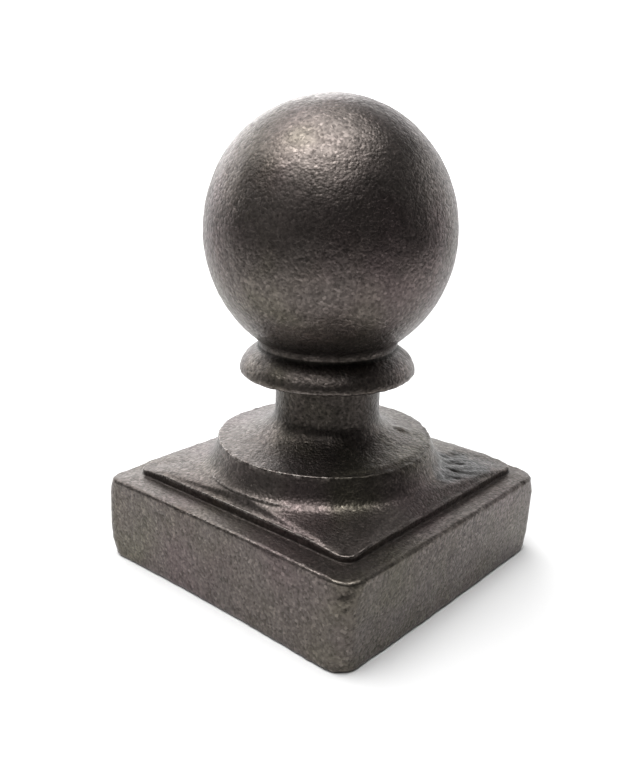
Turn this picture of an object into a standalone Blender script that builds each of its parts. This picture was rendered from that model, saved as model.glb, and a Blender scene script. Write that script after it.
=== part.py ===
"""Cast-iron post cap: a ball on a collared neck, standing on a moulded square base with a socket below.

The casting is one closed skin of rings. It starts at the socket's roof, comes down the inside of the wall,
turns round the rim, and goes up the outside to the top of the ball. Metres, +Z up, origin in the middle of
the socket's mouth, on the plane that the rim stands on.
"""

import math

import bmesh
import bpy

# Square base. The post is 50 mm square, and the socket slips over it.
POST_WIDTH = 0.050
SOCKET_CLEARANCE = 0.001
WALL = 0.005
SOCKET_DEPTH = 0.0135
SOCKET_CORNER = 0.0015
SKIRT_HEIGHT = 0.01686
BASE_CORNER = 0.0030
BASE_ROUND = 0.0009
LEDGE = 0.0041
RISER_HEIGHT = 0.0017
PANEL_CORNER = 0.0025
PANEL_ROUND = 0.0003

# Turned work above the panel, as radii and heights over the rim's plane.
FOOT_RADIUS = 0.0234
FOOT_HEIGHT = 0.0206
BAND_RADIUS = 0.0212
BAND_FLARE = 0.0010
PLINTH_RADIUS = 0.0209
PLINTH_HEIGHT = 0.02566
PLINTH_ROUND = 0.0005
NECK_RADIUS = 0.01007
NECK_BASE_HEIGHT = 0.0310
NECK_TOP_HEIGHT = 0.0373
COLLAR_RADIUS = 0.0166
COLLAR_HEIGHT = 0.0390
COLLAR_ROUND = 0.0002
COLLAR_BULGE_RADIUS = 0.0163
COLLAR_BULGE_HEIGHT = 0.0424
CREASE_RADIUS = 0.0134
CREASE_HEIGHT = 0.0434

# How far up its rise the foot's hollow and the neck's sweep keep close to the surface that they leave.
HOLLOW_SHARE = 0.14
SWEEP_SHARE = 0.3

# The ball is a little taller than it is wide, as cast.
BALL_RADIUS = 0.02285
BALL_HALF_HEIGHT = 0.02351
BALL_CENTRE_HEIGHT = 0.0645

# Points round each quarter of a ring, and steps up the curves.
SIDE_POINTS = 4
CORNER_POINTS = 8
ROUND_STEPS = 3
PANEL_STEPS = 3
CURVE_STEPS = 5
BALL_STEPS = 20
SMOOTH_ANGLE = math.radians(32)

SOCKET_HALF = POST_WIDTH / 2 + SOCKET_CLEARANCE
BASE_HALF = SOCKET_HALF + WALL
PANEL_HALF = BASE_HALF - LEDGE
PANEL_HEIGHT = SKIRT_HEIGHT + RISER_HEIGHT


def square(half, corner, height):
    """Ring of a square with round corners. Each quarter starts in the middle of a flat side."""
    side = half - corner
    quarter = [(half, side * (i + 0.5) / SIDE_POINTS) for i in range(SIDE_POINTS)]
    for i in range(CORNER_POINTS):
        angle = math.pi / 2 * i / (CORNER_POINTS - 1)
        quarter.append((side + corner * math.cos(angle), side + corner * math.sin(angle)))
    quarter += [(side * (i + 0.5) / SIDE_POINTS, half) for i in reversed(range(SIDE_POINTS))]
    points = []
    for turn in range(4):
        c, s = ((1, 0), (0, 1), (-1, 0), (0, -1))[turn]
        points += [(c * x - s * y, s * x + c * y, height) for x, y in quarter]
    return points


def circle(radius, height):
    """Ring of the turned work, with as many points as a square's."""
    count = 4 * (2 * SIDE_POINTS + CORNER_POINTS)
    angles = [math.tau * (i + 0.5) / count for i in range(count)]
    return [(radius * math.cos(angle), radius * math.sin(angle), height) for angle in angles]


def between(lower, upper, share):
    """Ring part of the way from one ring to another."""
    return [
        tuple(a + share * (b - a) for a, b in zip(low, high))
        for low, high in zip(lower, upper)
    ]


def bend(start, control, end, steps=CURVE_STEPS):
    """Points (radius, height) after start up to end, on the curve that leaves start towards control."""
    points = []
    for i in range(1, steps + 1):
        t = i / steps
        weights = ((1 - t) ** 2, 2 * t * (1 - t), t * t)
        radius = sum(w * p[0] for w, p in zip(weights, (start, control, end)))
        height = sum(w * p[1] for w, p in zip(weights, (start, control, end)))
        points.append((radius, height))
    return points


def socket_rings():
    """The socket's wall, from its roof down to the mouth."""
    return [
        square(SOCKET_HALF, SOCKET_CORNER, SOCKET_DEPTH),
        square(SOCKET_HALF, SOCKET_CORNER, 0),
    ]


def rounded(half, corner, height, soft, rising):
    """Rings of an outer arris rounded by soft: the bottom one if rising is 1, the top one if it is -1."""
    rings = []
    for i in range(ROUND_STEPS):
        angle = math.pi / 2 * i / (ROUND_STEPS - 1)
        inward = soft * (1 - math.sin(angle))
        up = soft * (1 - math.cos(angle))
        rings.append(square(half - inward, corner - inward, height + rising * up))
    return rings if rising > 0 else rings[::-1]


def base_rings():
    """The rim, skirt, ledge and riser of the square base, with the arrises rounded."""
    return [
        *rounded(BASE_HALF, BASE_CORNER, 0, BASE_ROUND, 1),
        *rounded(BASE_HALF, BASE_CORNER, SKIRT_HEIGHT, BASE_ROUND, -1),
        square(PANEL_HALF, PANEL_CORNER, SKIRT_HEIGHT),
        square(PANEL_HALF, PANEL_CORNER, PANEL_HEIGHT - PANEL_ROUND),
    ]


def panel_rings():
    """The raised panel, which rises gently from its square edge to the round foot of the plinth."""
    edge = square(PANEL_HALF - PANEL_ROUND, PANEL_CORNER - PANEL_ROUND, PANEL_HEIGHT)
    foot = circle(FOOT_RADIUS, FOOT_HEIGHT)
    return [between(edge, foot, i / PANEL_STEPS) for i in range(PANEL_STEPS + 1)]


def plinth_profile():
    """The steep band above the foot, its arris and the sweep in to the neck."""
    foot = (FOOT_RADIUS, FOOT_HEIGHT)
    arris = (PLINTH_RADIUS, PLINTH_HEIGHT)
    band_top = (BAND_RADIUS, PLINTH_HEIGHT - PLINTH_ROUND)
    neck = (NECK_RADIUS, NECK_BASE_HEIGHT)
    hollow = (BAND_RADIUS + BAND_FLARE, FOOT_HEIGHT + HOLLOW_SHARE * (PLINTH_HEIGHT - FOOT_HEIGHT))
    sweep = (NECK_RADIUS, PLINTH_HEIGHT + SWEEP_SHARE * (NECK_BASE_HEIGHT - PLINTH_HEIGHT))
    return [*bend(foot, hollow, band_top), arris, *bend(arris, sweep, neck, 2 * CURVE_STEPS)]


def collar_profile():
    """The neck's top, the collar's nearly flat underside and its bulging upper side, up to the crease."""
    neck_top = (NECK_RADIUS, NECK_TOP_HEIGHT)
    fillet = (NECK_RADIUS, COLLAR_HEIGHT)
    under = (COLLAR_RADIUS - COLLAR_ROUND, COLLAR_HEIGHT)
    edge = (COLLAR_RADIUS, COLLAR_HEIGHT + COLLAR_ROUND)
    bulge = (COLLAR_BULGE_RADIUS, COLLAR_BULGE_HEIGHT)
    crease = (CREASE_RADIUS, CREASE_HEIGHT)
    return [neck_top, *bend(neck_top, fillet, under), edge, *bend(edge, bulge, crease)]


def ball_profile():
    """The ball, from the radius of the crease to just short of its top."""
    start = math.asin(CREASE_RADIUS / BALL_RADIUS)
    points = []
    for i in range(BALL_STEPS):
        angle = start + (math.pi - start) * i / BALL_STEPS
        radius = BALL_RADIUS * math.sin(angle)
        points.append((radius, BALL_CENTRE_HEIGHT - BALL_HALF_HEIGHT * math.cos(angle)))
    return points


def grow_skin(mesh, rings, top):
    """Covers the first ring, joins each ring to the next, and closes the last one at the point top."""
    first = [mesh.verts.new(point) for point in rings[0]]
    mesh.faces.new(first)
    below = first
    for points in rings[1:]:
        above = [mesh.verts.new(point) for point in points]
        for i in range(len(points)):
            j = (i + 1) % len(points)
            mesh.faces.new((below[i], below[j], above[j], above[i]))
        below = above
    cover = mesh.faces.new(below)
    centre = bmesh.ops.poke(mesh, faces=[cover])["verts"][0]
    centre.co.z = top
    bmesh.ops.recalc_face_normals(mesh, faces=mesh.faces)


def iron():
    """Bare grey iron as it comes out of the sand: dark, warm and rough."""
    material = bpy.data.materials.new("cast_iron")
    material.use_nodes = True
    shader = material.node_tree.nodes["Principled BSDF"]
    shader.inputs["Base Color"].default_value = (0.115, 0.098, 0.090, 1)
    shader.inputs["Metallic"].default_value = 0.55
    shader.inputs["Roughness"].default_value = 0.62
    return material


def post_cap():
    """The whole casting, one object."""
    turned = plinth_profile() + collar_profile() + ball_profile()
    rings = socket_rings() + base_rings() + panel_rings()
    rings += [circle(radius, height) for radius, height in turned]
    skin = bmesh.new()
    grow_skin(skin, rings, BALL_CENTRE_HEIGHT + BALL_HALF_HEIGHT)
    mesh = bpy.data.meshes.new("post_cap")
    skin.to_mesh(mesh)
    skin.free()
    mesh.materials.append(iron())
    mesh.shade_smooth()
    mesh.set_sharp_from_angle(angle=SMOOTH_ANGLE)
    cap = bpy.data.objects.new("post_cap", mesh)
    bpy.context.scene.collection.objects.link(cap)
    return cap


def main():
    for old in list(bpy.data.objects):
        bpy.data.objects.remove(old, do_unlink=True)
    post_cap()


main()
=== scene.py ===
"""Looks of a cast-iron post cap: a ball on a collared neck and round plinth, over a moulded square base.

The casting is one skin on a grid of rows and columns. Each row is a ring, a square with round corners that
turns into a circle above the panel, and the rows follow the profile from the socket's roof to the top of the
ball. The finish is bare grey iron as it comes out of the sand. Metres throughout, in the frame of the solids.
"""

import logging
import math
from collections.abc import Sequence
from dataclasses import dataclass, field
from enum import Enum
from typing import Any

import bpy
import numpy as np
from mathutils import Matrix, Vector


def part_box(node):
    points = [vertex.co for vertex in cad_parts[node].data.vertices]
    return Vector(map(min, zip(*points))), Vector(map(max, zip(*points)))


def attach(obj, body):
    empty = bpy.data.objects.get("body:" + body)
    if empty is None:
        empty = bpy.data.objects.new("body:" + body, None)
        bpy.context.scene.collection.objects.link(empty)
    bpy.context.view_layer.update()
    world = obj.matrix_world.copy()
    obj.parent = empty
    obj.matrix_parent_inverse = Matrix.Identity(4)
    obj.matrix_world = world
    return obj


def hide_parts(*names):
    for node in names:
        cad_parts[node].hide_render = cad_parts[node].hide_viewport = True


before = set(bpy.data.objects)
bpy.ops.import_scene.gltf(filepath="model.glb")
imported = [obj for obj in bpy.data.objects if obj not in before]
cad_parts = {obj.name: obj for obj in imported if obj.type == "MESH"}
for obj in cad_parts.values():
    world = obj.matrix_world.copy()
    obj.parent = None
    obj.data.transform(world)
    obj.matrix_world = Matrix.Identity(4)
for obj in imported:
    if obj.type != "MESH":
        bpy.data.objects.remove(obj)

NODE = "post_cap"
BODY = "root"
# Least divisors, which keep a length of nothing from being divided by.
SMALLEST_RADIUS = 1e-6
SMALLEST_STEP = 1e-9
SMALLEST_NORMAL = 1e-12

# The hash of the noise's lattice.
HASH_OFFSET = 1000.0
HASH_AXES = (73856093, 19349663, 83492791)
HASH_SEED = 2654435
HASH_ROUNDS = ((13, 1274126177), (15, 668265263))
HASH_MASK = 0x7FFFFFFF
HASH_DROP = 7
HASH_LEVELS = 65536

# Sockets of a Mix node that are for colours.
MIX_SHARE, MIX_LOW, MIX_HIGH, MIX_RESULT = 0, 6, 7, 2

Place = tuple[float, float, float]
Colour = tuple[float, float, float]
Pair = tuple[float, float]

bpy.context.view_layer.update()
CAP_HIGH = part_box(NODE)[1]
BASE_HALF = CAP_HIGH[0]
TOP = CAP_HIGH[2]

logging.basicConfig(level=logging.INFO, format="%(message)s")
log = logging.getLogger(NODE)


class Side(Enum):
    """The sides of the base that came out untrue, each as the direction that it faces."""

    FRONT = (0.0, -1.0)
    RIGHT = (1.0, 0.0)
    LEFT = (-1.0, 0.0)

    def facing(self, points: np.ndarray) -> np.ndarray:
        """How far out the points lie towards this side, as a share of the base's half width."""
        return np.maximum(points[..., 0] * self.value[0] + points[..., 1] * self.value[1], 0) / BASE_HALF

    def along(self, points: np.ndarray) -> np.ndarray:
        """How far the points lie from the middle of this side, as a share of the base's half width."""
        return np.abs(points[..., 0] * self.value[1] + points[..., 1] * self.value[0]) / BASE_HALF


def smoothstep(low: float, high: float, values: np.ndarray) -> np.ndarray:
    """Rises from 0 at low to 1 at high, level at both ends: t * t * (3 - 2 t), with t the share of the way.

    Args:
        low: Value at which the rise starts.
        high: Value at which it ends.
        values: Numbers to look up.

    Returns:
        One share for each number.
    """
    t = np.clip((values - low) / (high - low), 0, 1)
    return t * t * (3 - 2 * t)


def lattice_noise(points: np.ndarray, cell: float, seed: int) -> np.ndarray:
    """Smooth noise that is the same on each run.

    Each corner of a cubic lattice gets a number from a hash of its three integers, and a point takes the
    average of its cell's eight corners, weighted by smooth shares along x, y and z.

    Args:
        points: Array (..., 3) of places in metres.
        cell: Width of a lattice cell in metres.
        seed: Number that picks the pattern.

    Returns:
        Array (...) of values from -1 to 1.
    """
    scaled = points / cell + HASH_OFFSET
    base = np.floor(scaled).astype(np.int64)
    share = scaled - base
    share = share * share * (3 - 2 * share)
    total = np.zeros(points.shape[:-1])
    for corner in np.ndindex(2, 2, 2):
        place = base + np.array(corner)
        x, y, z = (place[..., i] * HASH_AXES[i] for i in range(3))
        mixed = x ^ y ^ z ^ seed * HASH_SEED
        for shift, factor in HASH_ROUNDS:
            mixed = (mixed ^ (mixed >> shift)) * factor & HASH_MASK
        weight = np.prod(np.where(np.array(corner) == 1, share, 1 - share), axis=-1)
        total += weight * (2 * ((mixed >> HASH_DROP) % HASH_LEVELS) / (HASH_LEVELS - 1) - 1)
    return total


class Profile:
    """Rows of the skin as stations (half width, corner radius, height), drawn stretch by stretch."""

    def __init__(self, start: Sequence[float]) -> None:
        """Starts the rows at one station."""
        self.rows: list[np.ndarray] = [np.array([start], dtype=float)]

    def last(self) -> np.ndarray:
        """The station that the next stretch starts from."""
        return self.rows[-1][-1]

    def line(self, end: Sequence[float], step: float) -> None:
        """Adds a straight stretch: start + t (end - start).

        Args:
            end: Station that it runs to.
            step: Greatest distance between rows.
        """
        start = self.last()
        finish = np.array(end, dtype=float)
        count = max(1, math.ceil(math.hypot(finish[0] - start[0], finish[2] - start[2]) / step))
        t = np.arange(1, count + 1)[:, None] / count
        self.rows.append(start + t * (finish - start))

    def bend(self, control: Sequence[float], end: Sequence[float], step: float) -> None:
        """Adds a curved stretch: (1 - t)^2 start + 2 t (1 - t) control + t^2 end.

        Args:
            control: Station that the stretch leaves its start towards.
            end: Station that it runs to.
            step: Greatest distance between rows.
        """
        start = self.last()
        middle = np.array(control, dtype=float)
        finish = np.array(end, dtype=float)
        reach = math.hypot(*(middle - start)[[0, 2]]) + math.hypot(*(finish - middle)[[0, 2]])
        count = max(2, math.ceil(reach / step))
        t = np.arange(1, count + 1)[:, None] / count
        self.rows.append((1 - t) ** 2 * start + 2 * t * (1 - t) * middle + t**2 * finish)

    def ball(self, radius: float, half_height: float, centre: float, step: float) -> None:
        """Adds a ball from the last station's radius to near its top.

        The radius is R sin a and the height is centre - H cos a, for an angle a up from the bottom.

        Args:
            radius: The ball's radius R across.
            half_height: Its radius H up and down.
            centre: Height of its middle.
            step: Greatest distance between rows.
        """
        first = math.asin(self.last()[0] / radius)
        count = math.ceil(radius * (math.pi - first) / step)
        angle = first + (math.pi - first) * np.arange(1, count) / count
        across = radius * np.sin(angle)
        self.rows.append(np.stack([across, across, centre - half_height * np.cos(angle)], axis=1))

    def stations(self) -> np.ndarray:
        """All rows, as an array (rows, 3)."""
        return np.concatenate(self.rows)


def rounded_square(stations: np.ndarray, columns: int, crowding: float) -> np.ndarray:
    """Rings of squares with round corners, one for each station, each starting in the middle of the side +X.

    A quarter of a ring is half a flat side, a quarter turn of the corner radius, and half the next flat side.
    A column takes the point at its share s of the quarter's length, and s is pulled towards the corner by
    s + k sin(2 pi s) / (2 pi), where k falls to nothing as the square turns into a circle.

    Args:
        stations: Array (rows, 3) of half width, corner radius and height.
        columns: Points round each ring, a multiple of four.
        crowding: How much closer the columns stand at the corners of a square, from 0 to 1.

    Returns:
        Array (rows, columns, 3) of points.
    """
    half, corner, height = (stations[:, i, None] for i in range(3))
    side = half - corner
    place = np.arange(columns) * 4 / columns
    quarter = np.floor(place).astype(int)
    share = (place - quarter)[None, :]
    pull = crowding * (1 - corner / half)
    share = share + pull * np.sin(math.tau * share) / math.tau
    turn = corner * math.pi / 2
    length = share * (2 * side + turn)
    out = np.minimum(length, side)
    angle = np.clip(length - side, 0, turn) / corner
    home = np.clip(length - side - turn, 0, None)
    x = side + corner * np.cos(angle) - home
    y = out + corner * np.sin(angle)
    cosine = np.array([1, 0, -1, 0])[quarter]
    sine = np.array([0, 1, 0, -1])[quarter]
    return np.stack(
        [cosine * x - sine * y, sine * x + cosine * y, np.broadcast_to(height, x.shape)],
        axis=-1,
    )


def grid_normals(points: np.ndarray) -> np.ndarray:
    """Outward normals of a grid of rings: the cross product of the step round a ring and the step up.

    Args:
        points: Array (rows, columns, 3), with the columns counter-clockwise and the rows in profile order.

    Returns:
        Array (rows, columns, 3) of unit vectors.
    """
    around = np.roll(points, -1, axis=1) - np.roll(points, 1, axis=1)
    onward = np.gradient(points, axis=0)
    normals = np.cross(around, onward)
    return normals / np.maximum(np.linalg.norm(normals, axis=-1, keepdims=True), SMALLEST_NORMAL)


def convexity(points: np.ndarray, normals: np.ndarray) -> np.ndarray:
    """How sharply a grid bends away from its normals, in turns of a radian per metre, hollows negative.

    Along the rows and along the columns, the change of direction between the step to a point and the step
    from it is divided by their mean length. Its part along the normal, turned round, is added up.

    Args:
        points: Array (rows, columns, 3).
        normals: Unit normals of the same shape.

    Returns:
        Array (rows, columns).
    """
    total = np.zeros(points.shape[:2])
    for axis in (0, 1):
        if axis == 1:
            before = points - np.roll(points, 1, axis=1)
            after = np.roll(points, -1, axis=1) - points
        else:
            padded = np.concatenate([points[:1], points, points[-1:]])
            before = padded[1:-1] - padded[:-2]
            after = padded[2:] - padded[1:-1]
        length_before = np.linalg.norm(before, axis=-1, keepdims=True)
        length_after = np.linalg.norm(after, axis=-1, keepdims=True)
        arriving = before / np.maximum(length_before, SMALLEST_STEP)
        leaving = after / np.maximum(length_after, SMALLEST_STEP)
        spacing = (length_before + length_after)[..., 0] / 2
        total -= np.sum((leaving - arriving) * normals, axis=-1) / np.maximum(spacing, SMALLEST_STEP)
    total[[0, -1]] = 0
    return total


def axis_distance(points: np.ndarray) -> np.ndarray:
    """Distance of each point from the axis, never quite nothing."""
    return np.maximum(np.hypot(points[..., 0], points[..., 1]), SMALLEST_RADIUS)


def towards(points: np.ndarray, bearing: float) -> np.ndarray:
    """Cosine of the angle round the axis between each point and a bearing in degrees."""
    angle = math.radians(bearing)
    return (points[..., 0] * math.cos(angle) + points[..., 1] * math.sin(angle)) / axis_distance(points)


@dataclass(frozen=True)
class Pit:
    """A round hollow that gas or loose sand left in the skin."""

    centre: Place
    radius: float
    depth: float

    def lift(self, points: np.ndarray) -> np.ndarray:
        """Depth of the skin's dip: -depth (1 - (r / radius)^2)^2 inside the radius, and nothing outside.

        Args:
            points: Array (..., 3) of the skin's points.

        Returns:
            Array (...) of distances along the normal.
        """
        share = np.linalg.norm(points - np.array(self.centre), axis=-1) / self.radius
        return -self.depth * np.clip(1 - share**2, 0, 1) ** 2


@dataclass(frozen=True)
class Stroke:
    """A short straight score, or a ridge if its depth is negative, between two points of the skin."""

    start: Place
    end: Place
    width: float
    depth: float

    def lift(self, points: np.ndarray) -> np.ndarray:
        """Depth of the score: -depth exp(-(r / width)^2), with r the distance from the line between its ends.

        Args:
            points: Array (..., 3) of the skin's points.

        Returns:
            Array (...) of distances along the normal.
        """
        start = np.array(self.start)
        way = np.array(self.end) - start
        share = np.clip((points - start) @ way / (way @ way), 0, 1)
        away = np.linalg.norm(points - start - share[..., None] * way, axis=-1)
        return -self.depth * np.exp(-((away / self.width) ** 2))


@dataclass(frozen=True)
class ScabPatch:
    """A rough smudged patch on the panel, where the sand washed, with rows of short shallow strokes in it."""

    centre: Place = (0.0205, 0.0165, 0.0198)
    reach: float = 0.0075
    rows: int = 4
    strokes: int = 8
    row_gap: float = 0.0026
    stroke_gap: float = 0.0019
    stroke_length: float = 0.0019
    stroke_width: float = 0.00038
    stroke_depth: float = 0.00045
    jitter: float = 0.6
    slide_steps: int = 3
    depth_spread: float = 0.5
    shape: tuple[float, float, float] = (0.75, 1.35, 0.6)
    edge: Pair = (1.15, 0.6)
    raggedness: float = 0.35
    ragged_cells: int = 3
    roughness: float = 0.00016
    rough_cells: int = 7
    seed: int = 11

    def strokes_of_rows(self) -> list[Stroke]:
        """The strokes, each row side by side along Y, with lengths and leans that vary from one to the next.

        Returns:
            One score for each stroke.
        """
        scores = []
        generator = np.random.default_rng(self.seed)
        for row in range(self.rows):
            for place in range(self.strokes):
                x = self.centre[0] + (row - (self.rows - 1) / 2) * self.row_gap
                y = self.centre[1] + (place - (self.strokes - 1) / 2) * self.stroke_gap
                lean, length, slide = generator.uniform(-self.jitter, self.jitter, 3)
                half = self.stroke_length * (1 + length) / 2
                x += slide * self.row_gap / self.slide_steps
                way = (half * math.cos(lean), half * math.sin(lean))
                z = self.centre[2]
                scores.append(
                    Stroke(
                        (x - way[0], y - way[1], z),
                        (x + way[0], y + way[1], z),
                        self.stroke_width,
                        self.stroke_depth * (1 + self.depth_spread * lean),
                    )
                )
        return scores

    def cover(self, points: np.ndarray) -> np.ndarray:
        """How much of the patch lies on each point, with an edge that noise makes ragged.

        Args:
            points: Array (..., 3) of the skin's points.

        Returns:
            Array (...) from 0, clean, to 1.
        """
        away = (points - np.array(self.centre)) / np.array(self.shape) / self.reach
        ragged = self.raggedness * lattice_noise(points, self.reach / self.ragged_cells, self.seed)
        return smoothstep(*self.edge, np.linalg.norm(away, axis=-1) + ragged)

    def scored(self, points: np.ndarray) -> np.ndarray:
        """How deep in a stroke each point lies, as a share of a stroke's depth.

        Args:
            points: Array (..., 3) of the skin's points.

        Returns:
            Array (...) from 0 to 1.
        """
        scores = sum(score.lift(points) for score in self.strokes_of_rows())
        return np.clip(-scores / self.stroke_depth, 0, 1) * self.cover(points)

    def lift(self, points: np.ndarray) -> np.ndarray:
        """The patch's rough lift and the dips of its strokes.

        Args:
            points: Array (..., 3) of the skin's points.

        Returns:
            Array (...) of distances along the normal.
        """
        cover = self.cover(points)
        rough = self.roughness * lattice_noise(points, self.reach / self.rough_cells, self.seed + 1)
        scores = sum(score.lift(points) for score in self.strokes_of_rows())
        return cover * (rough + scores)


@dataclass(frozen=True)
class Casting:
    """The post cap as cast, with its sizes, its small faults of form, and its flaws."""

    columns: int = 300
    crowding: float = 0.45
    fine: float = 0.00046
    coarse: float = 0.0012
    roof: float = 0.0024

    socket_half: float = 0.0260
    socket_depth: float = 0.0135
    socket_corner: float = 0.0015
    rim_round: float = 0.0006
    skirt_height: float = 0.01686
    base_corner: float = 0.0030
    arris_corner: float = 0.0042
    base_round: float = 0.0009
    arris_rounds: int = 4
    ledge: float = 0.0041
    ledge_fillet: float = 0.0003
    panel_height: float = 0.01856
    panel_corner: float = 0.0025
    panel_round: float = 0.0004

    apron_reach: float = 0.0014
    apron_rise: float = 0.0010
    foot_radius: float = 0.0234
    foot_height: float = 0.0206
    band_flare: float = 0.0010
    band_radius: float = 0.0210
    plinth_radius: float = 0.0206
    plinth_height: float = 0.02566
    plinth_round: float = 0.0005
    neck_radius: float = 0.01007
    neck_base: float = 0.0310
    neck_top: float = 0.0373
    collar_radius: float = 0.0166
    collar_height: float = 0.0390
    collar_round: float = 0.0002
    bulge_radius: float = 0.0168
    bulge_height: float = 0.0414
    crease_radius: float = 0.0130
    crease_height: float = 0.0438
    tuck_angle: float = math.radians(38)
    tuck_share: float = 0.35
    hollow_share: float = 0.14
    sweep_share: float = 0.16
    ball_radius: float = 0.02285
    ball_half_height: float = 0.02351

    front_bow: float = -0.0006
    right_bow: float = 0.00028
    left_bow: float = -0.0004
    face_power: int = 4
    front_lean: Pair = (0.0002, 0.0008)
    right_lean: float = 0.00025
    panel_shift: Pair = (-0.00045, 0.00145)
    panel_margin: float = 0.0005
    panel_slack: float = 0.0001
    panel_drop: float = 0.0005
    drop_zone: Pair = (0.0080, 0.0008)
    sweep_shift: Pair = (0.00019, 0.00016)
    soft_bearing: float = 5.0
    soft_depth: float = 0.00035
    soft_reach: float = 0.0010
    soft_span: Pair = (0.45, 0.85)
    corner_zone: float = 0.0045
    corner_cut: float = 0.00012
    corner_drop: float = 0.00012
    cut_depth: float = 0.0016

    swell_cell: float = 0.0045
    swell: float = 0.00006
    sand_cell: float = 0.0011
    sand: float = 0.000035
    ragged_cell: float = 0.0011
    ragged: float = 0.00013
    ragged_bend: float = 1500.0

    # Painted shade in hollows, by how sharply the skin bends inwards.
    hollow_shade_bend: Pair = (-500.0, -2200.0)
    # Pale arrises: a little wear all round, and a painted highlight on the side towards the lamps.
    wear_and_highlight_bend: Pair = (900.0, 2400.0)
    highlight_bearing: float = -125.0
    highlight_span: Pair = (-0.1, 0.8)
    worn_all_round: float = 0.2
    # Painted shade in the crease above the collar, on the neck under it and on the band.
    nook_shade_height: float = 0.0436
    nook_shade_reach: float = 0.0016
    neck_shade: float = 0.95
    band_shade: float = 0.30
    band_shade_rise: float = 0.001

    patch: ScabPatch = field(default_factory=ScabPatch)

    def socket_profile(self) -> Profile:
        """Rows of the socket, from the middle of its roof down its wall to the mouth.

        Returns:
            The profile, which ends on the rim's inner edge.
        """
        profile = Profile((self.roof / 2, self.roof / 4, self.socket_depth))
        corner = self.socket_corner
        inner = self.socket_half
        profile.line((inner - corner / 2, corner, self.socket_depth), self.roof)
        profile.line((inner, corner, self.socket_depth - corner / 2), self.coarse)
        profile.line((inner, corner, self.rim_round), 2 * self.coarse)
        profile.bend((inner, corner, 0), (inner + self.rim_round, corner, 0), self.fine)
        return profile

    def add_base(self, profile: Profile) -> None:
        """Adds the rim, the skirt with its two rounded arrises, the ledge and the riser.

        Args:
            profile: Rows so far, which end on the rim's inner edge.
        """
        outer, soft, corner, arris = BASE_HALF, self.base_round, self.base_corner, self.arris_corner
        top, step, span = self.skirt_height, self.fine, self.arris_rounds * self.base_round
        panel, corner_in, fillet = outer - self.ledge, self.panel_corner, self.ledge_fillet
        profile.line((outer - soft, arris - soft, 0), self.coarse)
        profile.bend((outer, arris, 0), (outer, arris, soft), step)
        profile.line((outer, corner, span), step)
        profile.line((outer, corner, top - span), step)
        profile.line((outer, arris, top - soft), step)
        profile.bend((outer, arris, top), (outer - soft, arris - soft, top), step / 2)
        profile.line((panel + fillet, corner_in + fillet, top), step)
        profile.bend((panel, corner_in, top), (panel, corner_in, top + fillet), step / 2)
        profile.line((panel, corner_in, self.panel_height - self.panel_round), step)
        inside = (panel - self.panel_round, corner_in - self.panel_round / 2, self.panel_height)
        profile.bend((panel, corner_in, self.panel_height), inside, step / 2)

    def add_turned(self, profile: Profile) -> None:
        """Adds the panel, the plinth, the neck, the collar and the ball.

        Args:
            profile: Rows so far, which end on the panel's outer edge.
        """
        step = self.fine
        foot, band, rim, neck = self.foot_radius, self.band_radius, self.plinth_radius, self.neck_radius
        rise = self.plinth_height - self.foot_height
        hollow = self.foot_height + self.hollow_share * rise
        sweep = self.plinth_height + self.sweep_share * (self.neck_base - self.plinth_height)
        apron = foot + self.apron_reach
        rest = self.panel_height + self.apron_rise
        profile.bend((apron, apron, rest), (foot, foot, self.foot_height), step)
        flare = band + self.band_flare
        profile.bend((flare, flare, hollow), (band, band, self.plinth_height - self.plinth_round), step)
        profile.bend((band, band, self.plinth_height), (rim, rim, self.plinth_height), step / 2)
        profile.bend((neck, neck, sweep), (neck, neck, self.neck_base), step)
        profile.line((neck, neck, self.neck_top), step)
        edge = self.collar_radius
        under = edge - self.collar_round
        profile.bend((neck, neck, self.collar_height), (under, under, self.collar_height), step)
        profile.line((edge, edge, self.collar_height + self.collar_round), step)
        crease = (self.crease_radius, self.crease_radius, self.crease_height)
        profile.bend((self.bulge_radius, self.bulge_radius, self.bulge_height), crease, step)
        centre = TOP - self.ball_half_height
        start = self.ball_radius * math.sin(self.tuck_angle)
        height = centre - self.ball_half_height * math.cos(self.tuck_angle)
        fall = self.tuck_share * (height - self.crease_height)
        slope = self.ball_radius / (self.ball_half_height * math.tan(self.tuck_angle))
        tuck = start - fall * slope
        profile.bend((tuck, tuck, height - fall), (start, start, height), step)
        profile.ball(self.ball_radius, self.ball_half_height, centre, step)

    def correct(self, points: np.ndarray) -> np.ndarray:
        """Moves the skin as the mould did, with each fault worked out from where the points were meant to be.

        Args:
            points: Array (rows, columns, 3).

        Returns:
            The moved points.
        """
        moved = points.copy()
        self.push_faces(points, moved)
        self.shift_panel(points, moved)
        self.rub_corners(points, moved)
        self.shift_neck(points, moved)
        self.soften_plinth(points, moved)
        return moved

    def push_faces(self, points: np.ndarray, moved: np.ndarray) -> None:
        """Bows and leans the faces of the skirt.

        A face bows by bow (1 - u^2) v^p, with u the share along it from its middle, v the share out to it and
        p the face's power. It leans with height, the front one more towards the right.

        Args:
            points: Array (rows, columns, 3) as meant.
            moved: The points as cast, changed in place.
        """
        low = points[..., 2] < self.foot_height
        bows = ((Side.FRONT, self.front_bow), (Side.RIGHT, self.right_bow), (Side.LEFT, self.left_bow))
        for side, bow in bows:
            push = bow * np.clip(1 - side.along(points) ** 2, 0, 1)
            push = push * side.facing(points) ** self.face_power * low
            moved[..., :2] += push[..., None] * np.array(side.value)
        up = np.clip(points[..., 2] / self.skirt_height, 0, 1) * low
        across = (points[..., 0] + BASE_HALF) / (2 * BASE_HALF)
        lean = (self.front_lean[0] + self.front_lean[1] * across**2) * up
        moved[..., 1] += lean * Side.FRONT.facing(points) ** self.face_power
        moved[..., 0] += self.right_lean * up * Side.RIGHT.facing(points) ** self.face_power

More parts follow.
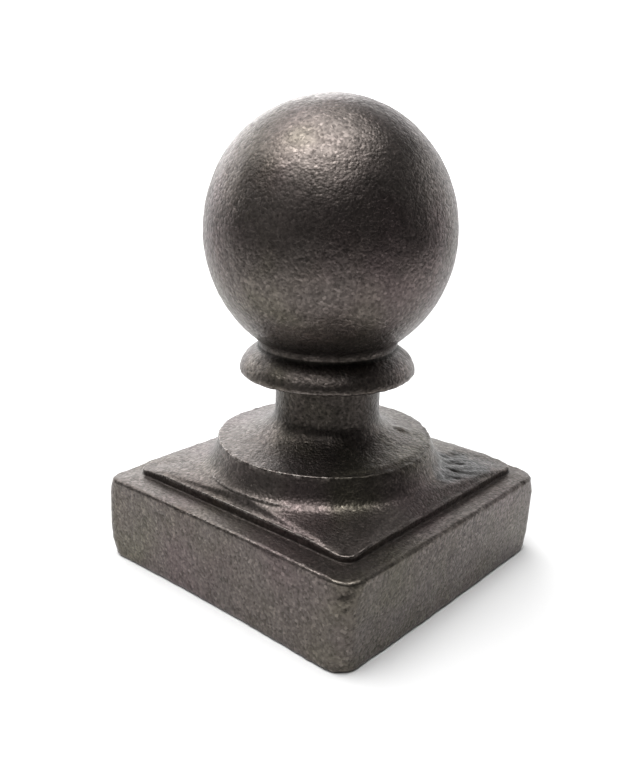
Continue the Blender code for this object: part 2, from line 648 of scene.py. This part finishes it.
    def shift_panel(self, points: np.ndarray, moved: np.ndarray) -> None:
        """Moves the panel off the middle, which fades out over the ledge and up to the foot.

        The panel's corners sink by panel_drop.

        Args:
            points: Array (rows, columns, 3) as meant.
            moved: The points as cast, changed in place.
        """
        height = points[..., 2]
        low = height < self.foot_height
        panel = BASE_HALF - self.ledge
        widest = np.max(np.abs(points[..., :2]), axis=-1)
        share = smoothstep(BASE_HALF - self.panel_margin, panel + self.panel_margin, widest)
        share *= (height > self.skirt_height - self.panel_slack) * low
        share *= smoothstep(self.foot_height, self.panel_height, height)
        moved[..., :2] += share[..., None] * np.array(self.panel_shift)
        reach = np.minimum(np.abs(points[..., 0]), np.abs(points[..., 1]))
        raised = np.clip((height - self.skirt_height) / (self.panel_height - self.skirt_height), 0, 1)
        raised *= low * (widest < panel + self.ledge_fillet)
        near = smoothstep(panel - self.drop_zone[0], panel - self.drop_zone[1], reach)
        moved[..., 2] -= self.panel_drop * raised * near

    def rub_corners(self, points: np.ndarray, moved: np.ndarray) -> None:
        """Rubs the skirt's four upper corners in and down, by a share that fades with the distance from them.

        Args:
            points: Array (rows, columns, 3) as meant.
            moved: The points as cast, changed in place.
        """
        height = points[..., 2]
        reach = np.minimum(np.abs(points[..., 0]), np.abs(points[..., 1]))
        near = smoothstep(BASE_HALF - self.corner_zone, BASE_HALF - self.base_corner / 3, reach)
        bell = np.exp(-(((height - self.skirt_height) / self.cut_depth) ** 2))
        rub = near * bell * (height < self.foot_height)
        moved[..., :2] -= (self.corner_cut * rub)[..., None] * np.sign(points[..., :2])
        moved[..., 2] -= self.corner_drop * rub

    def shift_neck(self, points: np.ndarray, moved: np.ndarray) -> None:
        """Moves the sweep and the neck aside, by a share that rises from the plinth and falls to the collar.

        Args:
            points: Array (rows, columns, 3) as meant.
            moved: The points as cast, changed in place.
        """
        height = points[..., 2]
        bell = smoothstep(self.plinth_height, self.neck_base, height)
        bell *= smoothstep(self.collar_height, self.neck_top, height)
        moved[..., :2] += bell[..., None] * np.array(self.sweep_shift)

    def soften_plinth(self, points: np.ndarray, moved: np.ndarray) -> None:
        """Sinks the plinth's arris in and down on the side that faces soft_bearing.

        Args:
            points: Array (rows, columns, 3) as meant.
            moved: The points as cast, changed in place.
        """
        radius = axis_distance(points)
        away = np.hypot(radius - self.plinth_radius, points[..., 2] - self.plinth_height)
        share = smoothstep(*self.soft_span, towards(points, self.soft_bearing))
        soft = self.soft_depth * share * np.exp(-((away / self.soft_reach) ** 2))
        moved[..., 2] -= soft
        moved[..., :2] -= (soft / radius)[..., None] * points[..., :2]

    def flaws(self) -> list[Pit | Stroke]:
        """Pits, blowholes, nicks and the lump that the casting kept.

        Returns:
            Each flaw, in its place on the skin.
        """
        corner = BASE_HALF - self.base_round
        return [
            Pit((corner + 0.0002, -corner - 0.0002, 0.0152), 0.0017, 0.00085),
            Pit((corner - 0.0004, -corner - 0.0004, 0.0141), 0.0010, 0.0006),
            Stroke(
                (corner - 0.0009, -corner - 0.0007, 0.0122),
                (corner + 0.0004, -corner + 0.0004, 0.0125),
                0.0004,
                0.0005,
            ),
            Pit((-0.0144, -0.0305, 0.0138), 0.0008, 0.0006),
            Pit((0.0109, 0.0105, 0.0270), 0.0022, -0.0005),
            Pit((-0.0310, -0.0250, 0.0169), 0.0060, 0.00035),
            Pit((-0.0303, -0.0303, 0.0158), 0.0032, -0.0003),
            Pit((0.0270, 0.0310, 0.0169), 0.0050, 0.0002),
            Pit((-0.0310, -0.0310, 0.0065), 0.0085, -0.00030),
            Pit((-0.0203, 0.0020, 0.0257), 0.0100, 0.00035),
            Pit((0.0114, 0.0098, 0.0429), 0.0030, -0.0003),
            Pit((-0.0113, 0.0008, 0.0848), 0.0140, 0.00028),
        ]

    def nook_shade(self, points: np.ndarray) -> np.ndarray:
        """How much painted shade the crease above the collar, the neck and the steep band get.

        The crease has a bell of height round it, and the neck and the band are darkened all over.

        Args:
            points: Array (rows, columns, 3).

        Returns:
            Array (rows, columns) from 0 to 1.
        """
        height = points[..., 2]
        radius = np.hypot(points[..., 0], points[..., 1])
        crease = np.exp(-(((height - self.nook_shade_height) / self.nook_shade_reach) ** 2))
        crease *= smoothstep(self.collar_radius, self.crease_radius, radius)
        neck = smoothstep(self.plinth_height, self.neck_base, height) * (height < self.collar_height)
        neck = self.neck_shade * neck**2 * (radius < self.collar_radius)
        band = smoothstep(self.foot_height, self.foot_height + self.band_shade_rise, height)
        band *= (height < self.plinth_height) * smoothstep(self.foot_radius, self.band_radius, radius)
        return np.clip(crease + neck + self.band_shade * band, 0, 1)

    def wear_and_highlight(self, points: np.ndarray, bend: np.ndarray) -> np.ndarray:
        """How pale each arris is, by its sharpness: a little wear all round, and a painted highlight on the
        side that faces the lamps.

        Args:
            points: Array (rows, columns, 3).
            bend: Convexity of the grid.

        Returns:
            Array (rows, columns) from 0 to 1.
        """
        share = smoothstep(*self.highlight_span, towards(points, self.highlight_bearing))
        share = self.worn_all_round + (1 - self.worn_all_round) * share
        return smoothstep(*self.wear_and_highlight_bend, bend) * share

    def grid(self) -> tuple[np.ndarray, np.ndarray]:
        """Works out the whole skin.

        Returns:
            Points (rows, columns, 3), and the share (rows, columns) of each that the scab patch covers.
        """
        profile = self.socket_profile()
        socket_rows = len(profile.stations())
        self.add_base(profile)
        self.add_turned(profile)
        points = self.correct(rounded_square(profile.stations(), self.columns, self.crowding))
        normals = grid_normals(points)
        sharp = np.clip(convexity(points, normals) / self.ragged_bend, 0, 1)
        outside = np.arange(len(points))[:, None] >= socket_rows
        lift = self.swell * lattice_noise(points, self.swell_cell, 1)
        lift += self.sand * lattice_noise(points, self.sand_cell, 2)
        lift += self.ragged * sharp * lattice_noise(points, self.ragged_cell, 3)
        cover = self.patch.cover(points) * outside
        lift += self.patch.lift(points) * outside
        for flaw in self.flaws():
            lift += flaw.lift(points) * outside
        points = points + lift[..., None] * normals
        points[..., 2] = np.maximum(points[..., 2], 0)
        return points, cover

    def build(self) -> bpy.types.Object:
        """Makes the casting's mesh: the grid as quads, with a fan of triangles at each pole.

        The marks on its points are how worn an arris is, with a painted highlight on the side towards the
        lamps, how much painted shade a hollow gets, how much scab, how deep a stroke, and how much painted
        shade the crease, the neck and the band get.

        Returns:
            The object, at the origin.
        """
        points, cover = self.grid()
        bend = convexity(points, grid_normals(points))
        rows, columns = bend.shape
        place = np.arange(rows * columns).reshape(rows, columns)
        beside = np.roll(place, -1, axis=1)
        quads = np.stack([place[:-1], beside[:-1], beside[1:], place[1:]], axis=-1).reshape(-1, 4)
        roof, top = rows * columns, rows * columns + 1
        first = np.stack([beside[0], place[0], np.full(columns, roof)], axis=-1)
        last = np.stack([place[-1], beside[-1], np.full(columns, top)], axis=-1)
        vertices = np.concatenate([points.reshape(-1, 3), [[0, 0, self.socket_depth], [0, 0, TOP]]])
        faces = [*quads.tolist(), *first.tolist(), *last.tolist()]
        mesh = bpy.data.meshes.new("post_cap_casting")
        mesh.from_pydata(vertices, [], faces)
        mesh.polygons.foreach_set("use_smooth", np.ones(len(faces), dtype=bool))
        marks = {
            # Wear on the arrises, with a painted highlight on the side towards the lamps.
            "arris": self.wear_and_highlight(points, bend),
            # Painted shade in hollows.
            "hollow": smoothstep(*self.hollow_shade_bend, bend),
            "scab": cover,
            # Depth in a stroke, which the finish darkens as painted shade.
            "stroke": self.patch.scored(points) * (cover > 0),
            # Painted shade in the crease, on the neck and on the band.
            "nook_shade": self.nook_shade(points),
        }
        for name, values in marks.items():
            layer = mesh.attributes.new(name, "FLOAT", "POINT")
            layer.data.foreach_set("value", np.concatenate([values.ravel(), [0, 0]]).astype(np.float32))
        mesh.update()
        piece = bpy.data.objects.new("post_cap_casting", mesh)
        bpy.context.scene.collection.objects.link(piece)
        log.info("post_cap_casting: %d rows, %d columns, %d faces", rows, columns, len(faces))
        return piece


class Tree:
    """The node tree of a material or a world, with one method for every node."""

    def __init__(self, owner: bpy.types.Material | bpy.types.World) -> None:
        """Switches the owner's nodes on and starts from the ones that Blender puts there."""
        owner.use_nodes = True
        self.tree = owner.node_tree

    def node(
        self,
        kind: str,
        settings: dict[str, Any] | None = None,
        inputs: dict[str | int, Any] | None = None,
    ) -> bpy.types.Node:
        """Adds one node.

        Args:
            kind: The node's type, such as ShaderNodeMath.
            settings: Properties that are set first.
            inputs: A value, a Wire or a socket for each input, by its name or number.

        Returns:
            The node.
        """
        made = self.tree.nodes.new(kind)
        for name, value in (settings or {}).items():
            setattr(made, name, value)
        for name, value in (inputs or {}).items():
            self.feed(made.inputs[name], value)
        return made

    def feed(self, socket: bpy.types.NodeSocket, value: Any) -> None:
        """Gives an input its value, or links it.

        Args:
            socket: The input.
            value: A number, a tuple, a Wire or an output socket.
        """
        if isinstance(value, Wire):
            self.tree.links.new(value.socket, socket)
        elif isinstance(value, bpy.types.NodeSocket):
            self.tree.links.new(value, socket)
        else:
            socket.default_value = value

    def wire(
        self,
        kind: str,
        output: str | int,
        settings: dict[str, Any] | None = None,
        inputs: dict[str | int, Any] | None = None,
    ) -> "Wire":
        """Adds one node and returns one of its outputs as a number to count with.

        Args:
            kind: The node's type.
            output: The output's name or number.
            settings: As in node.
            inputs: As in node.

        Returns:
            The output.
        """
        return Wire(self, self.node(kind, settings, inputs).outputs[output])

    def mix(self, share: Any, low: Any, high: Any) -> "Wire":
        """Mixes two colours.

        Args:
            share: Share of the second colour, a number or a Wire.
            low: First colour.
            high: Second colour.

        Returns:
            The mixed colour.
        """
        made = self.node("ShaderNodeMix", {"data_type": "RGBA"})
        self.feed(made.inputs[MIX_SHARE], share)
        self.feed(made.inputs[MIX_LOW], low)
        self.feed(made.inputs[MIX_HIGH], high)
        return Wire(self, made.outputs[MIX_RESULT])

    def scaled(self, colour: "Wire", factor: "Wire") -> "Wire":
        """Multiplies a colour by a number.

        Args:
            colour: The colour.
            factor: The number.

        Returns:
            The colour, lighter or darker.
        """
        settings = {"operation": "SCALE"}
        return self.wire("ShaderNodeVectorMath", "Vector", settings, {"Vector": colour, "Scale": factor})


class Wire:
    """A number that changes over the surface, with Python's operators as Math nodes."""

    def __init__(self, tree: Tree, socket: bpy.types.NodeSocket) -> None:
        """Wraps one output socket."""
        self.tree = tree
        self.socket = socket

    def math(self, operation: str, *values: Any, clamp: bool = False) -> "Wire":
        """Adds a Math node.

        Args:
            operation: Blender's name of the operation.
            values: Its inputs in order, numbers or Wires.
            clamp: Whether the result is kept from 0 to 1.

        Returns:
            The result.
        """
        settings = {"operation": operation, "use_clamp": clamp}
        return self.tree.wire("ShaderNodeMath", 0, settings, dict(enumerate(values)))

    def __add__(self, other: Any) -> "Wire":
        """Sum."""
        return self.math("ADD", self, other)

    __radd__ = __add__

    def __sub__(self, other: Any) -> "Wire":
        """Difference."""
        return self.math("SUBTRACT", self, other)

    def __rsub__(self, other: Any) -> "Wire":
        """Difference, the other way round."""
        return self.math("SUBTRACT", other, self)

    def __mul__(self, other: Any) -> "Wire":
        """Product."""
        return self.math("MULTIPLY", self, other)

    def clamped(self) -> "Wire":
        """The number, kept from 0 to 1."""
        return self.math("ADD", self, 0.0, clamp=True)

    def between(self, low: float, high: float) -> "Wire":
        """The share of the way from low to high, kept from 0 to 1 and level at both ends.

        Args:
            low: Number that gives 0.
            high: Number that gives 1.

        Returns:
            The share.
        """
        settings = {"interpolation_type": "SMOOTHSTEP"}
        return self.tree.wire("ShaderNodeMapRange", 0, settings, {0: self, 1: low, 2: high})


@dataclass(frozen=True)
class IronFinish:
    """Bare grey iron out of the sand: dull, grained and warm, paler where an arris is rubbed, with a painted
    highlight on arrises towards the lamps and painted shade in hollows, the crease, on the neck, the band and
    the strokes.
    """

    body: Colour = (0.108, 0.093, 0.085)
    plum: Colour = (0.108, 0.086, 0.083)
    olive: Colour = (0.097, 0.088, 0.068)
    slate: Colour = (0.082, 0.084, 0.085)
    # Pale arris colour: wear, and a painted highlight on arrises towards the lamps.
    wear_and_highlight: Colour = (0.21, 0.19, 0.175)
    # Colour of the painted shade in hollows, the crease, the neck, the band and the strokes.
    shade_colour: Colour = (0.028, 0.024, 0.021)
    metallic: float = 0.97
    roughness: float = 0.37
    grain_size: float = 0.00050
    speck_size: float = 0.00060
    fine_size: float = 0.00020
    grain_height: float = 0.00007
    cell_contrast: float = 0.5
    glint: float = 0.3
    speck_contrast: float = 1.1
    mottle_size: float = 0.0024
    mottle_contrast: float = 0.35
    blotch_size: float = 0.014
    tint_share: float = 0.6
    tint_seed: float = 3.7

    tint_span: Pair = (0.40, 0.62)
    blotch_span: Pair = (0.35, 0.65)
    glint_span: Pair = (0.86, 1.0)
    wear_and_highlight_span: Pair = (0.35, 0.62)
    scab_slate: float = 0.8
    # How far hollows, the crease, neck and band, and the strokes go towards the painted shade colour.
    hollow_shade: float = 0.75
    nook_shade_dark: float = 0.75
    stroke_shade: float = 0.6
    grain_lift: float = 0.5
    speck_lift: float = 0.9
    cell_lift: float = 0.35
    fine_lift: float = 0.12
    cell_gloss: float = 0.12
    hollow_dull: float = 0.2
    arris_gloss: float = 0.08

    def noise(self, tree: Tree, place: bpy.types.NodeSocket, size: float, detail: float) -> Wire:
        """Adds noise over the surface.

        Args:
            tree: The material's tree.
            place: The coordinates.
            size: Width of its largest cells.
            detail: How many finer layers it has.

        Returns:
            The noise, about 0.5 on average.
        """
        inputs = {"Vector": place, "Scale": 1 / size, "Detail": detail}
        return tree.wire("ShaderNodeTexNoise", "Fac", None, inputs)

    def material(self) -> bpy.types.Material:
        """Builds the finish.

        Returns:
            The material, on Object coordinates and the casting's own marks.
        """
        made = bpy.data.materials.new("bare_sand_cast_iron")
        tree = Tree(made)
        shader = tree.tree.nodes["Principled BSDF"]
        place = tree.node("ShaderNodeTexCoord").outputs["Object"]
        arris, hollow, scab, stroke, nook_shade = (
            tree.wire("ShaderNodeAttribute", "Fac", {"attribute_name": name})
            for name in ("arris", "hollow", "scab", "stroke", "nook_shade")
        )
        cells = tree.node("ShaderNodeTexVoronoi", None, {"Vector": place, "Scale": 1 / self.grain_size})
        grain = Wire(tree, cells.outputs["Distance"])
        cell = tree.wire("ShaderNodeSeparateXYZ", "X", None, {"Vector": cells.outputs["Color"]})
        speck = self.noise(tree, place, self.speck_size, 1.0)
        mottle = self.noise(tree, place, self.mottle_size, 2.0)
        fine = self.noise(tree, place, self.fine_size, 1.0)
        blotch = self.noise(tree, place, self.blotch_size, 3.0)
        tint = tree.wire(
            "ShaderNodeTexNoise",
            "Fac",
            {"noise_dimensions": "4D"},
            {
                "Vector": place,
                "W": self.tint_seed,
                "Scale": self.tint_share / self.blotch_size,
                "Detail": 2.0,
            },
        )
        colour = tree.mix(tint.between(*self.tint_span), (*self.plum, 1), (*self.olive, 1))
        colour = tree.mix(blotch.between(*self.blotch_span), colour, (*self.body, 1))
        colour = tree.mix((scab * self.scab_slate).clamped(), colour, (*self.slate, 1))
        # Painted shade: hollows, the crease, the neck, the band and the strokes are darkened.
        painted_shade = hollow * self.hollow_shade + nook_shade * self.nook_shade_dark + stroke * self.stroke_shade
        colour = tree.mix(painted_shade.clamped(), colour, (*self.shade_colour, 1))
        tone = 1 + (cell - 0.5) * self.cell_contrast + (speck - 0.5) * self.speck_contrast
        tone = tone + (mottle - 0.5) * self.mottle_contrast + cell.between(*self.glint_span) * self.glint
        colour = tree.scaled(colour, tone)
        # Pale arrises: a little wear all round and a painted highlight on the side towards the lamps.
        rub = (arris * speck.between(*self.wear_and_highlight_span)).clamped()
        colour = tree.mix(rub, colour, (*self.wear_and_highlight, 1))
        height = (1 - grain) * self.grain_lift + speck * self.speck_lift
        height = height + cell * self.cell_lift + fine * self.fine_lift
        lifts = {"Height": height, "Distance": self.grain_height, "Strength": 1.0}
        bump = tree.node("ShaderNodeBump", None, lifts)
        rough = self.roughness + (0.5 - cell) * self.cell_gloss
        rough = rough + hollow * self.hollow_dull - arris * self.arris_gloss
        tree.feed(shader.inputs["Base Color"], colour)
        tree.feed(shader.inputs["Roughness"], rough.clamped())
        tree.feed(shader.inputs["Metallic"], self.metallic)
        tree.feed(shader.inputs["Normal"], bump.outputs["Normal"])
        return made


@dataclass(frozen=True)
class SoftBox:
    """A large soft lamp, aimed at the middle of the cap."""

    name: str
    bearing: float
    elevation: float
    width: float
    height: float
    radiance: float
    distance: float = 0.9

    def build(self, target: Vector) -> bpy.types.Object:
        """Makes the lamp. A square emitter's power is its radiance times pi times its area.

        Args:
            target: The point that it faces.

        Returns:
            The lamp's object.
        """
        light = bpy.data.lights.new(self.name, "AREA")
        light.shape = "RECTANGLE"
        light.size = self.width
        light.size_y = self.height
        light.energy = self.radiance * math.pi * self.width * self.height
        bearing, elevation = math.radians(self.bearing), math.radians(self.elevation)
        way = Vector(
            (
                math.cos(bearing) * math.cos(elevation),
                math.sin(bearing) * math.cos(elevation),
                math.sin(elevation),
            )
        )
        lamp = bpy.data.objects.new(self.name, light)
        lamp.location = target + self.distance * way
        lamp.rotation_euler = way.to_track_quat("Z", "Y").to_euler()
        bpy.context.scene.collection.objects.link(lamp)
        return lamp


@dataclass(frozen=True)
class Studio:
    """Pale floor that curves up into a wall all round, and soft lamps.

    The floor is pale round the cap and on towards the backdrop, where it glows, and darker elsewhere.
    """

    floor_colour: Colour = (0.86, 0.86, 0.86)
    far_colour: Colour = (0.22, 0.22, 0.22)
    far_start: float = -0.08
    far_full: float = -0.27
    side_share: float = 0.7
    floor_roughness: float = 0.95
    floor_rings: tuple[float, ...] = (0.001, 0.3)
    floor_reach: float = 2.4
    cove: float = 0.5
    cove_rows: int = 13
    wall: float = 1.2
    columns: int = 96
    world: float = 0.02
    backdrop_bearing: float = 130.0
    glow: float = 1.0
    glow_start: float = 0.20
    glow_full: float = 1.1
    target: Place = (0.0, 0.0, 0.045)
    boxes: tuple[SoftBox, ...] = (
        SoftBox("overhead", 193, 84, 0.75, 0.85, 4.3),
        SoftBox("window_behind_left", 158, 30, 1.0, 0.7, 1.8),
        SoftBox("window_behind", 118, 34, 0.6, 0.5, 0.45),
        SoftBox("high_left", -140, 62, 0.6, 0.5, 2.6),
        SoftBox("high_front_left", -75, 70, 0.5, 0.4, 2.4),
        SoftBox("high_front", -62, 56, 0.5, 0.35, 1.0),
        SoftBox("fill_front_left", -103, 46, 0.6, 0.5, 0.35),
        SoftBox("low_front_left", -100, 15, 0.6, 0.3, 0.3),
        SoftBox("low_left", -165, 15, 0.8, 0.35, 0.35),
        SoftBox("fill_right", 40, 35, 0.6, 0.5, 0.1),
    )

    def floor_mesh(self) -> bpy.types.Mesh:
        """Makes the floor's mesh: a disc, a quarter round of the cove's radius, and an upright wall.

        Returns:
            The mesh, smooth, with its normals inwards.
        """
        flat = np.array([[radius, 0.0] for radius in (*self.floor_rings, self.floor_reach)])
        angle = np.linspace(0, math.pi / 2, self.cove_rows)[1:]
        curve = np.stack(
            [self.floor_reach + self.cove * np.sin(angle), self.cove * (1 - np.cos(angle))],
            axis=1,
        )
        upright = np.array([[self.floor_reach + self.cove, self.cove + self.wall]])
        section = np.concatenate([flat, curve, upright])
        points = rounded_square(section[:, [0, 0, 1]], self.columns, 0)
        place = np.arange(points[..., 0].size).reshape(points.shape[:2])
        beside = np.roll(place, -1, axis=1)
        quads = np.stack([place[:-1], place[1:], beside[1:], beside[:-1]], axis=-1).reshape(-1, 4)
        mesh = bpy.data.meshes.new("studio_floor")
        mesh.from_pydata(points.reshape(-1, 3), [], [*quads.tolist(), place[0].tolist()])
        mesh.polygons.foreach_set("use_smooth", np.ones(len(mesh.polygons), dtype=bool))
        mesh.update()
        return mesh

    def paper(self) -> bpy.types.Material:
        """Builds the floor's finish, whose tones follow the distances behind the cap and aside of it.

        Returns:
            The material, matt and pale.
        """
        made = bpy.data.materials.new("pale_floor")
        tree = Tree(made)
        shader = tree.tree.nodes["Principled BSDF"]
        place = tree.node("ShaderNodeTexCoord").outputs["Object"]
        bearing = math.radians(self.backdrop_bearing)
        behind, aside = (
            tree.wire("ShaderNodeVectorMath", "Value", {"operation": "DOT_PRODUCT"}, {0: place, 1: (*way, 0)})
            for way in ((math.cos(bearing), math.sin(bearing)), (-math.sin(bearing), math.cos(bearing)))
        )
        spread = aside.math("ABSOLUTE", aside) * self.side_share
        near = (behind - spread).between(self.far_full, self.far_start)
        lit = behind.between(self.glow_start, self.glow_full)
        base = tree.mix(near, (*self.far_colour, 1), (*self.floor_colour, 1))
        tree.feed(shader.inputs["Base Color"], base)
        tree.feed(shader.inputs["Roughness"], self.floor_roughness)
        tree.feed(shader.inputs["Specular IOR Level"], 0.0)
        tree.feed(shader.inputs["Emission Color"], tree.mix(lit, (0, 0, 0, 1), (1, 1, 1, 1)))
        tree.feed(shader.inputs["Emission Strength"], self.glow)
        return made

    def build_floor(self) -> bpy.types.Object:
        """Makes the floor.

        Returns:
            The floor's object.
        """
        mesh = self.floor_mesh()
        mesh.materials.append(self.paper())
        floor = bpy.data.objects.new("studio_floor", mesh)
        bpy.context.scene.collection.objects.link(floor)
        return floor

    def build(self) -> None:
        """Makes the floor, the lamps and the even light between them."""
        self.build_floor()
        for box in self.boxes:
            box.build(Vector(self.target))
        world = bpy.data.worlds.new("studio")
        world.use_nodes = True
        background = world.node_tree.nodes["Background"]
        background.inputs["Color"].default_value = (1, 1, 1, 1)
        background.inputs["Strength"].default_value = self.world
        bpy.context.scene.world = world
        bpy.context.scene.view_settings.view_transform = "Standard"
        log.info("studio: %d lamps", len(self.boxes))


@dataclass(frozen=True)
class PhotoCamera:
    """The camera as it stood for the photograph, a frame of 640 by 763 pixels."""

    frame_height: float = 763.0
    sensor: float = 36.0
    azimuth: float = 40.748
    elevation: float = 22.004
    roll: float = -1.332
    focal: float = 856.63
    axis_pixel: Pair = (320.0, 440.0)
    frame_centre: Pair = (320.0, 381.5)
    anchor: Place = (0.0, 0.0, 0.0372)
    anchor_pixel: Pair = (326.795, 377.263)
    anchor_depth: float = 0.16449
    clip: float = 0.01

    def build(self) -> bpy.types.Object:
        """Places the camera so that the anchor lies at its pixel and depth.

        Returns:
            The camera's object, which is the scene's camera.
        """
        around, up = math.radians(self.azimuth), math.radians(self.elevation)
        back = Vector((math.sin(around) * math.cos(up), -math.cos(around) * math.cos(up), math.sin(up)))
        level = (-back).cross(Vector((0, 0, 1))).normalized()
        down = (-back).cross(level)
        roll = math.radians(self.roll)
        right = level * math.cos(roll) + down * math.sin(roll)
        low = down * math.cos(roll) - level * math.sin(roll)
        aside = (self.anchor_pixel[0] - self.axis_pixel[0]) / self.focal
        below = (self.anchor_pixel[1] - self.axis_pixel[1]) / self.focal
        location = Vector(self.anchor) - self.anchor_depth * (right * aside + low * below - back)
        lens = bpy.data.cameras.new("photo_camera")
        lens.sensor_width = self.sensor
        lens.lens = self.sensor * self.focal / self.frame_height
        lens.shift_x = (self.frame_centre[0] - self.axis_pixel[0]) / self.frame_height
        lens.shift_y = (self.axis_pixel[1] - self.frame_centre[1]) / self.frame_height
        lens.clip_start = self.clip
        camera = bpy.data.objects.new("photo_camera", lens)
        turn = Matrix((right, -low, back)).transposed().to_4x4()
        camera.matrix_world = Matrix.Translation(location) @ turn
        bpy.context.scene.collection.objects.link(camera)
        bpy.context.scene.camera = camera
        return camera


def main() -> None:
    """Builds the casting, dresses it, and sets up the studio and the camera."""
    piece = Casting().build()
    piece.data.materials.append(IronFinish().material())
    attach(piece, BODY)
    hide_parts(NODE)
    Studio().build()
    PhotoCamera().build()


if __name__ == "__main__":
    main()
